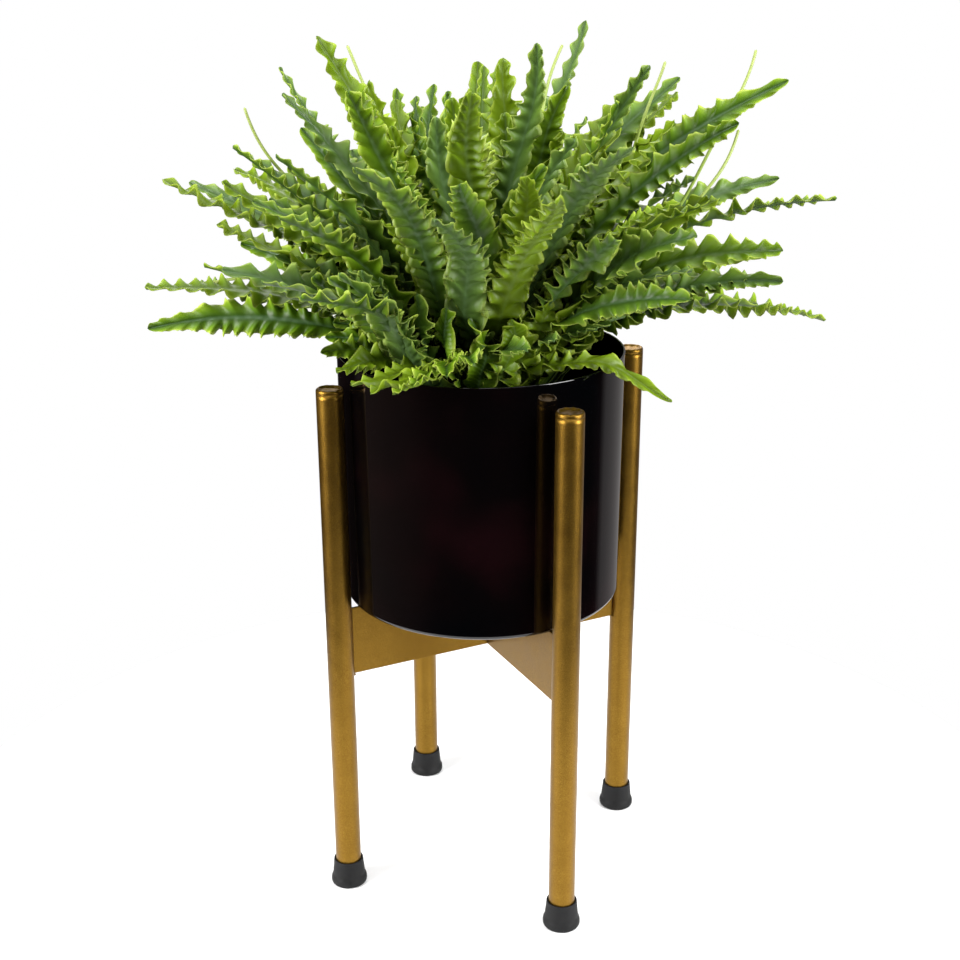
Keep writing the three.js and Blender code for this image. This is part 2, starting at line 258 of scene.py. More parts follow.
# The camera stands on a circle round the object, looks inward and down by the pitch, and is then
# turned and rolled by a small angle.
def placeCamera():
    data = bpy.data.cameras.new("camera")
    data.lens = view["lens"]
    data.sensor_width = view["sensor"]
    data.clip_start = view["nearest"]
    cameraObject = bpy.data.objects.new("camera", data)
    bpy.context.scene.collection.objects.link(cameraObject)
    around = math.radians(view["azimuth"])
    place = (view["distance"] * math.sin(around), -view["distance"] * math.cos(around), view["height"])
    turn = Matrix.Rotation(around + math.radians(view["turn"]), 4, "Z")
    tilt = Matrix.Rotation(math.radians(90 - view["pitch"]), 4, "X")
    roll = Matrix.Rotation(math.radians(view["roll"]), 4, "Z")
    cameraObject.matrix_world = Matrix.Translation(place) @ turn @ tilt @ roll
    bpy.context.scene.camera = cameraObject


light = {"distance": 1.5, "aimHeight": 0.3, "ambient": 0.36}

# azimuths are counted from the camera's
lamps = [
    {"name": "light_left", "azimuth": -62, "elevation": 18, "size": (0.6, 1.2), "power": 38},
    {"name": "light_right", "azimuth": 62, "elevation": 18, "size": (0.6, 1.2), "power": 38},
    {"name": "light_top", "azimuth": 10, "elevation": 78, "size": (1.6, 1.6), "power": 24},
    {"name": "light_back", "azimuth": 180, "elevation": 42, "size": (1.0, 1.0), "power": 13},
]

ground = {"radius": 0.46, "thickness": 0.002, "facets": 128, "dark": (0.88,) * 3, "pale": (0.9,) * 3}


# A lamp at a direction and distance from the point it faces, which is above the floor's middle.
def addAreaLight(name, azimuth, elevation, size, power):
    data = bpy.data.lights.new(name, "AREA")
    data.shape = "RECTANGLE"
    data.size, data.size_y = size
    data.energy = power
    lamp = bpy.data.objects.new(name, data)
    bpy.context.scene.collection.objects.link(lamp)
    a, e = math.radians(azimuth), math.radians(elevation)
    place = np.array([math.sin(a) * math.cos(e), -math.cos(a) * math.cos(e), math.sin(e)])
    place = place * light["distance"]
    place[2] += light["aimHeight"]
    turn = Matrix.Rotation(a, 4, "Z") @ Matrix.Rotation(math.pi / 2 - e, 4, "X")
    lamp.matrix_world = Matrix.Translation(place.tolist()) @ turn
    return lamp


# compass angles as the camera sees them: 0 to the right, 90 straight behind, -90 at the camera
room = {
    "walls": [
        (-179, (0.1, 0.065, 0.055)),
        (-150, (0.075, 0.045, 0.04)),
        (-128, (0.02, 0.01, 0.01)),
        (-100, (0.003, 0.003, 0.003)),
        (8, (0.003, 0.003, 0.003)),
        (20, (0.03, 0.018, 0.02)),
        (28, (0.26, 0.24, 0.24)),
        (92, (0.36, 0.35, 0.34)),
        (100, (0.34, 0.34, 0.34)),
        (108, (0.012, 0.008, 0.008)),
        (150, (0.012, 0.008, 0.008)),
        (158, (0.11, 0.08, 0.075)),
    ],
}


# The room: white to look at, an even grey for soft light, and for mirror images a dark room with
# a pale wall from the right round to straight behind and a dim warm one on the left. The wall's
# colour is picked by the compass angle of the direction.
def buildRoom():
    world = bpy.data.worlds.new("room")
    bpy.context.scene.world = world
    world.use_nodes = True
    tree = world.node_tree
    background = tree.nodes["Background"]
    direction = addNode(tree, "ShaderNodeTexCoord").outputs["Generated"]
    part = addNode(tree, "ShaderNodeSeparateXYZ", {0: direction}).outputs
    compass = mathNode("ARCTAN2", part["Y"], part["X"])
    share = rangeNode(compass, -math.pi, math.pi, 0, 1)
    turnShare = view["azimuth"] / 360
    stops = []
    for angle, colour in room["walls"]:
        stops.append(((angle / 360 + 0.5 + turnShare) % 1.0, colour))
    stops.sort(key=lambda stop: stop[0])
    walls = rampNode(share, stops)
    path = addNode(tree, "ShaderNodeLightPath").outputs
    soft = mixNode(tree, path["Is Glossy Ray"], (*[light["ambient"]] * 3, 1), walls)
    seen = mixNode(tree, path["Is Camera Ray"], soft, (1, 1, 1, 1))
    link(background, "Color", seen)


def buildStage():
    placeCamera()
    buildRoom()
    for lamp in lamps:
        azimuth = view["azimuth"] + lamp["azimuth"]
        addAreaLight(lamp["name"], azimuth, lamp["elevation"], lamp["size"], lamp["power"])
    half = ground["thickness"] / 2
    profile = [[0, -ground["thickness"]]] + arc(ground["radius"], -half, half, -90, 90, 4) + [[0, 0]]
    floor = turnedPiece("floor", profile, ground["facets"], (0, 0, 0))
    material, tree, shader = newMaterial("paleFloor", **{"Roughness": 0.55, "Specular IOR Level": 0.2})
    grain = noiseNode(objectPlace(tree), 3.0)
    tone = rampNode(grain, [(0.3, ground["dark"]), (0.7, ground["pale"])])
    link(shader, "Base Color", tone)
    dress(floor, material)
    bpy.context.scene.view_settings.view_transform = "Standard"
    print("stage ready")


buildStage()


gold = {
    "dark": (0.135, 0.068, 0.009), "middle": (0.2, 0.108, 0.014), "bright": (0.3, 0.175, 0.027),
    "metallic": 0.95, "roughness": 0.37, "roughnessSwing": (-0.03, 0.04), "flakeScale": 2200.0,
    "flakeShare": 0.8, "mottleScale": 60.0, "mottleShare": 0.2, "sprayScale": 900.0,
    "sprayDepth": 0.00025, "peelScale": 380.0, "peelDepth": 0.0003,
}


# Metallic paint: a flake noise in the colour, mottling under it, and a fine sprayed texture.
def makeGoldPaint():
    material, tree, shader = newMaterial("goldPaint", **{"Metallic": gold["metallic"]})
    place = objectPlace(tree)
    flake = noiseNode(place, gold["flakeScale"], 2.0)
    mottle = noiseNode(place, gold["mottleScale"], 4.0, 0.6)
    flakePart = mathNode("MULTIPLY", flake, gold["flakeShare"])
    mottlePart = mathNode("MULTIPLY", mottle, gold["mottleShare"])
    mixed = mathNode("ADD", flakePart, mottlePart)
    tone = rampNode(mixed, [(0.3, gold["dark"]), (0.5, gold["middle"]), (0.7, gold["bright"])])
    link(shader, "Base Color", tone)
    smooth, dull = (gold["roughness"] + swing for swing in gold["roughnessSwing"])
    rough = rangeNode(mottle, 0.3, 0.7, smooth, dull)
    link(shader, "Roughness", rough)
    sprayed = noiseNode(place, gold["sprayScale"], 3.0)
    peel = bumpNode(noiseNode(place, gold["peelScale"], 2.0), 0.12, gold["peelDepth"])
    link(shader, "Normal", bumpNode(sprayed, 0.5, gold["sprayDepth"], peel))
    return material


enamel = {
    "dark": (0.0005, 0.0006, 0.0008), "middle": (0.0012, 0.0007, 0.0008),
    "wine": (0.0042, 0.0012, 0.0016), "roughness": 0.05, "ior": 1.5, "cloudScale": 11.0,
    "waveScale": 22.0, "waveDepth": 0.0006,
}


# Enamel: near black with a wine cast under a clear gloss, with a faint wave in the surface.
def makeDarkEnamel():
    settings = {"Roughness": enamel["roughness"], "IOR": enamel["ior"]}
    material, tree, shader = newMaterial("darkEnamel", **settings)
    place = objectPlace(tree)
    cloud = noiseNode(place, enamel["cloudScale"], 2.0)
    tone = rampNode(cloud, [(0.38, enamel["dark"]), (0.52, enamel["middle"]), (0.66, enamel["wine"])])
    link(shader, "Base Color", tone)
    wave = noiseNode(place, enamel["waveScale"], 1.0)
    link(shader, "Normal", bumpNode(wave, 0.08, enamel["waveDepth"]))
    return material


rubber = {
    "dark": (0.003, 0.003, 0.0032), "dusty": (0.01, 0.01, 0.0105), "roughness": (0.5, 0.72),
    "dustScale": 130.0, "grainScale": 700.0, "grainDepth": 0.0003,
}


# Rubber: a dust noise makes it paler and duller together, over a fine grain.
def makeRubber():
    material, tree, shader = newMaterial("blackRubber", **{"Roughness": 0.55, "Specular IOR Level": 0.22})
    place = objectPlace(tree)
    dust = noiseNode(place, rubber["dustScale"], 4.0, 0.65)
    tone = rampNode(dust, [(0.35, rubber["dark"]), (0.75, rubber["dusty"])])
    link(shader, "Base Color", tone)
    link(shader, "Roughness", rangeNode(dust, 0.3, 0.7, *rubber["roughness"]))
    grain = noiseNode(place, rubber["grainScale"])
    link(shader, "Normal", bumpNode(grain, 0.3, rubber["grainDepth"]))
    return material


foam = {"pitShade": (0.01, 0.016, 0.008), "wall": (0.045, 0.065, 0.03), "cellScale": 420.0, "cellDepth": 0.001}


# Foam: cells whose middles are dark pits, painted shade in the hollows, and whose walls are pale and stand
# out.
def makeFoam():
    material, tree, shader = newMaterial("greenFoam", **{"Roughness": 0.95, "Specular IOR Level": 0.1})
    place = objectPlace(tree)
    sockets = {"Vector": place, "Scale": foam["cellScale"]}
    cells = addNode(tree, "ShaderNodeTexVoronoi", sockets).outputs["Distance"]
    # the dark colour in the cells' middles is painted shade in the hollows
    tone = rampNode(cells, [(0.1, foam["pitShade"]), (0.7, foam["wall"])])
    link(shader, "Base Color", tone)
    link(shader, "Normal", bumpNode(cells, 0.8, foam["cellDepth"]))
    return material


leaf = {
    "rib": (0.055, 0.11, 0.036), "deep": (0.03, 0.076, 0.002), "middle": (0.08, 0.165, 0.003),
    "light": (0.165, 0.275, 0.008), "edge": (0.34, 0.44, 0.055),
    "blueCast": (0.098, 0.165, 0.055), "yellowCast": (0.175, 0.25, 0.004), "castShare": 0.5,
    "cloudScale": 55.0, "cloudShift": 0.35, "rootPaintedShade": 0.35, "valleyPaintedShade": 0.5,
    "crestPaintedLight": 1.28, "roughness": (0.34, 0.5), "veins": 160.0, "veinSlant": 7.0,
    "veinDepth": 0.0004, "grainScale": 380.0,
}


# the parts of the UV map: X runs along a blade or stem and Y across it
def uvParts(tree):
    uv = addNode(tree, "ShaderNodeUVMap").outputs["UV"]
    return addNode(tree, "ShaderNodeSeparateXYZ", {0: uv}).outputs


# a value with a share of a noise added, counted from the noise's middle
def wanderNode(value, cloud, share):
    shift = mathNode("MULTIPLY", mathNode("SUBTRACT", cloud, 0.5), share)
    return mathNode("ADD", value, shift)


# Moulded leaf plastic. The distance from the rib picks the colour: dull blue green along the rib,
# deep green beside it and yellow green at the thin edge; the deep green is partly painted shade and
# the pale edge partly painted light shining through the thin plastic. The tint attribute shifts each
# frond to blue or to yellow, the crest attribute paints a highlight on the folds' tops and shade in
# their valleys, blades get painted shade towards the hub, and side veins run out from the rib.
def makeLeafPlastic():
    settings = {"Roughness": 0.42, "Specular IOR Level": 0.26}
    material, tree, shader = newMaterial("leafPlastic", **settings)
    part = uvParts(tree)
    side = mathNode("SUBTRACT", mathNode("MULTIPLY", part["Y"], 2.0), 1.0)
    fromRib = mathNode("ABSOLUTE", side)
    place = objectPlace(tree)
    cloud = noiseNode(place, leaf["cloudScale"], 3.0)
    # on top of the plastic's own colour: painted shade in the deep green beside the rib and painted light
    # through the thin edge
    across = rampNode(wanderNode(fromRib, cloud, leaf["cloudShift"]), [
        (0.0, leaf["rib"]),
        (0.14, leaf["deep"]),
        (0.5, leaf["middle"]),
        (0.84, leaf["light"]),
        (0.97, leaf["edge"]),
    ])
    tint = addNode(tree, "ShaderNodeAttribute", attribute_name="tint").outputs["Fac"]
    toBlue = rangeNode(tint, 0.6, 1.0, 0.0, leaf["castShare"])
    toYellow = rangeNode(tint, 0.45, 0.0, 0.0, leaf["castShare"])
    cast = mixNode(tree, toBlue, across, (*leaf["blueCast"], 1))
    cast = mixNode(tree, toYellow, cast, (*leaf["yellowCast"], 1))
    crest = addNode(tree, "ShaderNodeAttribute", attribute_name="crest").outputs["Fac"]
    # painted shade: blades darker towards the hub, deep inside the bush
    paintedLightAndShade = rangeNode(part["X"], 0.0, 0.5, leaf["rootPaintedShade"], 1.0)
    # painted highlight on the folds' tops and painted shade in their valleys
    foldLightAndShade = rangeNode(crest, -0.9, 0.9, leaf["valleyPaintedShade"], leaf["crestPaintedLight"])
    paintedLightAndShade = mathNode("MULTIPLY", paintedLightAndShade, foldLightAndShade)
    grey = addNode(tree, "ShaderNodeCombineColor", {0: paintedLightAndShade, 1: paintedLightAndShade, 2: paintedLightAndShade}).outputs[0]
    colour = mixNode(tree, 1.0, cast, grey, "MULTIPLY")
    link(shader, "Base Color", colour)
    link(shader, "Roughness", rangeNode(cloud, 0.3, 0.7, *leaf["roughness"]))
    along = mathNode("MULTIPLY", part["X"], leaf["veins"])
    slanted = mathNode("SUBTRACT", along, mathNode("MULTIPLY", fromRib, leaf["veinSlant"]))
    vein = mathNode("SINE", slanted)
    fine = bumpNode(noiseNode(place, leaf["grainScale"]), 0.25, leaf["veinDepth"])
    link(shader, "Normal", bumpNode(vein, 0.25, leaf["veinDepth"], fine))
    return material


stalk = {
    "green": (0.1, 0.2, 0.012), "lime": (0.22, 0.33, 0.035), "pale": (0.3, 0.36, 0.09),
    "roughness": 0.4, "cloudScale": 60.0, "cloudShift": 0.3,
}


# Stem plastic: green at the root, paler along the stem to its tip, with a cloudy wander.
def makeTendrilPlastic():
    material, tree, shader = newMaterial("tendrilPlastic", **{"Roughness": stalk["roughness"]})
    along = uvParts(tree)["X"]
    cloud = noiseNode(objectPlace(tree), stalk["cloudScale"])
    mixed = wanderNode(along, cloud, stalk["cloudShift"])
    tone = rampNode(mixed, [(0.1, stalk["green"]), (0.55, stalk["lime"]), (1.0, stalk["pale"])])
    link(shader, "Base Color", tone)
    return material


goldPaint = makeGoldPaint()
darkEnamel = makeDarkEnamel()
blackRubber = makeRubber()
greenFoam = makeFoam()
leafPlastic = makeLeafPlastic()
tendrilPlastic = makeTendrilPlastic()
print("finishes ready")


# a piece's material, the body it rides on, its slot, which is not used, and the nodes it stands for
def settle(piece, material, body, slot, *nodes):
    dress(piece, material)
    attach(piece, body)
    for node in nodes:
        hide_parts(node)
    return piece


tube = {
    "radius": 0.0095, "wall": 0.0013, "facets": 96, "step": 0.0035, "spatter": 0.00022,
    "spatterSize": 0.0045, "spatterBelow": 0.012, "spatterAbove": 0.008, "spatterBlend": 0.004,
}


# Four pieces turned about the legs, each in the place of its node. The shape function gives the
# profile and what is done to its rings, from the corner's number and the node's heights.
def turnAtLegs(kind, name, facets, material, slot, shapeOf):
    for index, corner in enumerate(corners):
        node = f"{kind}_{corner}"
        low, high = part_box(node)
        centre = nodeCentre(node)
        profile, reshape = shapeOf(index, low.z, high.z, centre)
        piece = turnedPiece(f"{name}_{corner}", profile, facets, (*centre[:2], 0), reshape)
        settle(piece, material, "stand", slot, node)


# The tube wall is a closed profile turned about the leg. Near the brace the paint is lumpy over
# weld spatter: the radius grows by a lumpy field, strongest on the side that faces the brace.
def tubeShape(index, low, high, centre):
    braceLow, braceHigh = (corner.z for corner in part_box("brace_slot_up"))
    inward = -centre[:2] / np.linalg.norm(centre[:2])
    outer, inner = tube["radius"], tube["radius"] - tube["wall"]
    wall = divided([[outer, low], [outer, high]], tube["step"])
    profile = [[inner, low]] + wall + [[inner, high], [inner, low]]

    def withSpatter(ring):
        radius = np.linalg.norm(ring[..., :2], axis=-1)
        facing = (ring[..., 0] * inward[0] + ring[..., 1] * inward[1]) / radius
        height = ring[..., 2]
        blend = tube["spatterBlend"]
        near = smoothStep(height, braceLow - tube["spatterBelow"], braceLow + blend)
        near = near * (1 - smoothStep(height, braceHigh - blend, braceHigh + tube["spatterAbove"]))
        near = near * smoothStep(facing, -0.1, 0.75) * (radius > outer - 1e-5)
        bead = np.clip(lumps(ring, tube["spatterSize"], index + 3), 0, 1.2) ** 1.5
        return widened(ring, 1 + near * bead * tube["spatter"] / outer)

    return profile, withSpatter


cap = {
    "lip": 0.0015, "side": 0.0007, "dish": 0.0013, "dishSteps": (0.0006, 0.0014, 0.0026),
    "dishDrop": 0.0003, "plugGap": 0.00035, "chamfer": 0.0004, "rough": 0.00022,
    "roughSize": 0.0036, "facets": 96,
}


# A disc with a raised rounded lip and a dished middle. The lip is a ground weld bead, so its
# height and radius wander by a lumpy field.
def capShape(index, low, high, centre):
    radius, lip = tube["radius"], cap["lip"]
    plug = radius - tube["wall"] - cap["plugGap"]
    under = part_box(f"leg_tube_{corners[index]}")[1].z
    chamfer, deepest = cap["chamfer"], high - cap["dish"] * 1.1
    inside = [radius - lip - step for step in cap["dishSteps"]]
    edge = [[radius, under], [radius, under + cap["side"]]]
    edge += arc(radius - lip, high - lip, lip, 0, 90, 8)
    dish = [[inside[0], high - cap["dishDrop"]], [inside[1], high - cap["dish"] * 0.75]]
    flat = [[inside[2], high - cap["dish"]], [0.002, deepest]]
    profile = [[0, low], [plug - chamfer, low], [plug, low + chamfer], [plug, under]]
    profile += edge + dish + divided(flat, 0.001) + [[0, deepest]]

    def rough(ring):
        ring = ring.copy()
        onTop = smoothStep(ring[..., 2], high - 0.003, high - 0.001)
        field = lumps(ring + np.array([0.1, 0.2, 0.0]), cap["roughSize"], index + 11)
        ring[..., 2] += onTop * (field - 0.9) * cap["rough"]
        return widened(ring, 1 - onTop * (0.8 + field) * cap["rough"] * 0.35 / radius)

    return profile, rough


foot = {
    "base": 0.0136, "top": 0.0112, "edge": 0.0022, "flare": 0.0068, "bore": 0.0098, "floor": 0.0035,
    "mouth": 0.0008,
    "flareShape": [(0.55, 0), (0.72, 0.0002), (0.86, 0.0006)],  # share of the flare, distance in
    "waistShape": [(0.98, -0.0002), (1.12, 0.0001)],
    "squeeze": 0.012, "facets": 96,
}


# A cup turned about the leg: rounded base, a flare that steps in a third of the way up, a slight
# taper and a rounded mouth. Each one is squeezed a little differently, by two waves round it.
def ferruleShape(index, low, high, centre):
    base, top, edge, mouth = foot["base"], foot["top"], foot["edge"], foot["mouth"]
    step, bore = foot["flare"], foot["bore"]
    waist = top + (base - top) * 0.5
    profile = [[0, 0.0], [base - edge - 0.004, 0.0]] + arc(base - edge, edge, edge, -90, 0, 8)
    profile += [[base - inward, step * share] for share, inward in foot["flareShape"]]
    profile += [[waist - inward, step * share] for share, inward in foot["waistShape"]]
    profile += divided([[waist - 0.0002, step * 1.25], [top, high - 0.001]], 0.002)
    profile += arc(top - mouth, high - mouth, mouth, 10, 90, 5)
    profile += [[bore + 0.0002, high], [bore, high - 0.0004], [bore, foot["floor"]], [0, foot["floor"]]]

    def squeezed(ring):
        angle = np.arctan2(ring[..., 1], ring[..., 0])
        radius = np.linalg.norm(ring[..., :2], axis=-1)
        outer = smoothStep(radius, 0.01, 0.0112) * smoothStep(ring[..., 2], 0, 0.003)
        wave = np.sin(2 * angle + index) * 0.5 + np.sin(3 * angle + 2.1 * index) * 0.3
        return widened(ring, 1 + outer * (wave - 0.8) * foot["squeeze"])

    return profile, squeezed


brace = {
    "thickness": 0.002, "slot": 0.0027, "halfGap": 0.000175, "bevel": 0.00045, "along": 90,
    "up": 22, "warp": 0.00025, "warpAlong": 2.2, "warpUp": 40,
}


# A thin sheet on edge, as a grid of columns along it and rows up it. Columns in the slot start or
# stop at half height. The two faces are the grid, moved half the thickness each way along the
# sheet's own normal, with a slow warp, and a Bevel modifier rounds its edges.
def buildBraces():
    for node, angle, slotUp in (("brace_slot_up", 45, True), ("brace_slot_down", 135, False)):
        low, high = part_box(node)
        half = math.hypot(high.x - low.x, high.y - low.y) / 2 - brace["thickness"] / 2
        slot, middle = brace["slot"] / 2, (low.z + high.z) / 2
        gap = brace["halfGap"]
        span = np.linspace(-half, -slot, brace["along"] // 2)
        columns = np.concatenate([span, -span[::-1]])
        rowsLow = np.linspace(low.z, middle - gap, brace["up"] // 2)
        rowsHigh = np.linspace(middle + gap, high.z, brace["up"] // 2)
        rows = np.concatenate([rowsLow, rowsHigh])
        x, z = np.meshgrid(columns, rows, indexing="ij")
        flat = np.stack([x, z], -1).reshape(-1, 2)
        count = len(rows)
        quads = gridQuads(len(columns), count, closeCols=False)
        mid = len(columns) // 2 - 1
        column, row = quads[:, 0] // count, quads[:, 0] % count
        keptRow = row < count // 2 - 1 if slotUp else row > count // 2 - 1
        quads = quads[(column != mid) | keptRow]
        outline = edgeLoops(quads)
        a = math.radians(angle)
        alongDir = np.array([math.cos(a), math.sin(a), 0])
        normal = np.array([-math.sin(a), math.cos(a), 0])
        warp = brace["warp"] * np.sin(flat[:, :1] / half * brace["warpAlong"] + angle)
        warp = warp * np.sin((flat[:, 1:] - middle) * brace["warpUp"])
        sheet = flat[:, :1] * alongDir + flat[:, 1:] * np.array([0, 0, 1]) + warp * normal
        offset = normal * brace["thickness"] / 2
        points = np.vstack([sheet + offset, sheet - offset])
        total = len(sheet)
        wall = np.stack([outline[:, 0], outline[:, 1], outline[:, 1] + total, outline[:, 0] + total], -1)
        faces = [quads[:, ::-1], quads + total, wall]
        used, compact = np.unique(np.concatenate([f.ravel() for f in faces]), return_inverse=True)
        sizes = np.cumsum([0] + [f.size for f in faces])
        faces = [compact[sizes[i]:sizes[i + 1]].reshape(-1, 4) for i in range(3)]
        piece = faceOut(addMesh(f"sheet_{'up' if slotUp else 'down'}", points[used], faces))
        bevel = piece.modifiers.new("edge", "BEVEL")
        bevel.width, bevel.segments, bevel.limit_method = brace["bevel"], 2, "ANGLE"
        piece.data.polygons.foreach_set("use_smooth", np.zeros(len(piece.data.polygons), bool))
        settle(piece, goldPaint, "stand", "gold_paint", node)


# edges that only one face uses, in that face's direction
def edgeLoops(faces):
    edges = np.stack([faces, np.roll(faces, -1, axis=1)], -1).reshape(-1, 2)
    key = np.sort(edges, axis=1)
    _, inverse, counts = np.unique(key, axis=0, return_inverse=True, return_counts=True)
    return edges[counts[inverse.ravel()] == 1]


tack = {"radius": 0.0011, "length": 0.005, "rough": 0.15, "lift": 0.0014, "rings": 23, "sides": 32}


# A weld bead: a ball stretched across the sheet into a capsule, its radius swollen by a lumpy
# field, set up and out into the corner below the sheet.
def buildTacks():
    for corner in corners:
        node = f"weld_tack_{corner}"
        centre = nodeCentre(node)
        across = np.array([-centre[1], centre[0], 0]) / np.linalg.norm(centre[:2])
        rings, sides = tack["rings"], tack["sides"]
        lift = np.linspace(-math.pi / 2, math.pi / 2, rings + 2)[1:-1]
        spin = np.arange(sides) * 2 * math.pi / sides
        lift, spin = np.meshgrid(lift, spin, indexing="ij")
        ball = np.stack([np.cos(lift) * np.cos(spin), np.cos(lift) * np.sin(spin), np.sin(lift)], -1)
        poles = np.array([[0, 0, -1.0], [0, 0, 1.0]])
        ball = np.vstack([ball.reshape(-1, 3), poles])
        field = 1 + tack["rough"] * (lumps(ball, 0.9, 31 + corners.index(corner)) - 0.8)
        body = ball * tack["radius"] * field[:, None]
        stretch = np.sign(ball[:, 2:]) * smoothStep(np.abs(ball[:, 2:]), 0, 0.4) * tack["length"] / 4
        outward = centre * np.array([1, 1, 0]) / np.linalg.norm(centre[:2])
        up = np.array([0, 0, 1.0])
        place = centre + (up + outward) * tack["lift"]
        points = body[:, :1] * outward + body[:, 1:2] * up + (body[:, 2:] + stretch) * across + place
        piece = faceOut(addMesh(f"tack_{corner}", points, closedTube(rings, sides)))
        settle(piece, goldPaint, "stand", "gold_paint", node)


turnAtLegs("leg_tube", "tube", tube["facets"], goldPaint, "gold_paint", tubeShape)
turnAtLegs("leg_cap", "cap", cap["facets"], goldPaint, "gold_paint", capShape)
turnAtLegs("ferrule", "foot", foot["facets"], blackRubber, "rubber", ferruleShape)
buildBraces()
buildTacks()
print("stand ready")


pot = {"top": 0.1015, "bottom": 0.1005, "wall": 0.0014, "corner": 0.0032, "oval": 0.0006, "facets": 256}


# A thin shell turned about its axis: flat bottom, a rounded corner, a straight side, a rounded rim
# and the same again inside. The side is out of round by a hair.
def buildPot():
    low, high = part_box("pot_shell")
    centre = nodeCentre("pot_shell")
    top, bottom, wall, corner = pot["top"], pot["bottom"], pot["wall"], pot["corner"]
    inner = corner - wall
    rim = wall / 2
    profile = [[0, low.z], [bottom * 0.5, low.z], [bottom - corner - 0.004, low.z]]
    profile += arc(bottom - corner, low.z + corner, corner, -90, 0, 12)
    profile += divided([[bottom, low.z + corner + 0.001], [top, high.z - 0.003]], 0.006)
    profile += arc(top - rim, high.z - rim, rim, 0, 180, 12)
    profile += divided([[top - wall, high.z - 0.003], [bottom - wall, low.z + corner]], 0.012)
    profile += arc(bottom - corner, low.z + corner, inner, 0, -90, 8) + [[0, low.z + wall]]

    def outOfRound(ring):
        angle = np.arctan2(ring[..., 1], ring[..., 0])
        return widened(ring, 1 - pot["oval"] * (1 + np.sin(2 * angle + 0.7)))

    piece = turnedPiece("pot", profile, pot["facets"], (*centre[:2], 0), outOfRound)
    settle(piece, darkEnamel, "pot", "dark_enamel", "pot_shell")


buildPot()
print("pot ready")


fern = {
    "hubRadius": 0.02, "rootGap": 0.0006, "sprays": 32, "goldenAngle": 137.508, "start": 20,
    "lowest": 26, "highest": 86, "droopLow": 185, "droopHigh": 50, "length": 0.248,
    "crownLength": 0.196, "crownStart": 62, "lengthVariation": 0.018, "sideAngle": 15,
    "sideDrop": 2, "sideSwing": 0.08, "sideShare": 0.8, "sideVariation": 0.08,
    "steepestCosine": 0.3, "roll": 34, "faceFront": 34, "width": 0.0225, "widthVariation": 0.14,
    "ruffleVariation": 0.25, "opening": 0.24, "stem": 0.004, "swayReach": 0.09, "swayPlan": 0.009,
    "swayHeight": 0.005,
    "swayX": (0.052, 0.09, 2.381),  # stretch over y, stretch over z, start
    "swayY": (0.06, 0.07, 4.572),  # stretch over z, stretch over x, start
    "swayZ": (0.06, 0.075),  # stretch over x, stretch over y
    "frontAzimuth": -72, "uprightShare": 0.36, "uprightReach": 0.09, "rimReach": 0.0815,
    "rimRoot": 6, "rimElevation": 30, "rimDroop": 330,
}

# sprays that differ from the spiral, by their place in it
sprayLengths = {
    0: 0.24, 1: 0.256, 3: 0.226, 4: 0.232, 9: 0.236, 11: 0.23, 12: 0.205, 13: 0.264,
    17: 0.24, 21: 0.272, 25: 0.222, 26: 0.226, 27: 0.192, 28: 0.186, 29: 0.182,
}

sprayChanges = {
    10: {"azimuth": 312},
    23: {"elevation": 57},
    30: {"length": 0.236, "azimuth": 193, "elevation": 73},
}

rimFronds = [
    {
        "azimuth": -53, "side": 34, "swing": 0.13, "length": 0.126, "hang": 0.02,
        "width": 0.013, "ruffle": 0.8,
    },
    {"azimuth": -100, "side": 4, "length": 0.086, "hang": 0.002},
    {"azimuth": 84, "side": 12, "length": 0.1, "hang": 0.006, "elevation": 34},
    {"azimuth": 186, "side": -8, "length": 0.098, "hang": 0.006, "elevation": 34},
]

# long low fronds between the sprays, one at each side
looseFronds = [
    {"azimuth": 199, "side": 0, "length": 0.234, "droop": 190, "elevation": 29, "root": 20, "roll": -62},
    {"azimuth": 352, "side": 6, "length": 0.205, "droop": 120, "elevation": 34, "root": 24, "roll": 48},
]

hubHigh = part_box("bush_stem")[1]
hub = np.array([*nodeCentre("bush_stem")[:2], hubHigh.z - fern["hubRadius"]])


# Fronds at the front and back stand more upright than at the sides: each point keeps its distance
# from the hub, and its elevation moves towards the vertical by a share that is full straight
# ahead and behind, falls to nothing at the sides and starts from nothing at the hub.
def raised(points):
    distance = np.linalg.norm(points, axis=-1)
    azimuth = np.arctan2(points[..., 1], points[..., 0])
    facing = np.abs(np.cos(azimuth - math.radians(fern["frontAzimuth"])))
    fullness = 1 - np.exp(-((distance / fern["uprightReach"]) ** 2))
    elevation = np.arctan2(points[..., 2], np.hypot(points[..., 0], points[..., 1]))
    steeper = elevation + fern["uprightShare"] * facing * fullness * (math.pi / 2 - elevation)
    radius = distance * np.cos(steeper)
    return np.stack([radius * np.cos(azimuth), radius * np.sin(azimuth), distance * np.sin(steeper)], -1)


# a gentle wave through the whole bush, none at the hub and fuller further out
def sway(points):
    x, y, z = points[..., 0], points[..., 1], points[..., 2]
    fullness = 1 - np.exp(-((np.linalg.norm(points, axis=-1) / fern["swayReach"]) ** 2))
    xByY, xByZ, xStart = fern["swayX"]
    yByZ, yByX, yStart = fern["swayY"]
    zByX, zByY = fern["swayZ"]
    dx = fern["swayPlan"] * np.sin(y / xByY + z / xByZ + xStart)
    dy = fern["swayPlan"] * np.sin(z / yByZ + x / yByX + yStart)
    dz = fern["swayHeight"] * np.sin(x / zByX - y / zByY)
    return points + np.stack([dx, dy, dz], -1) * fullness[..., None]


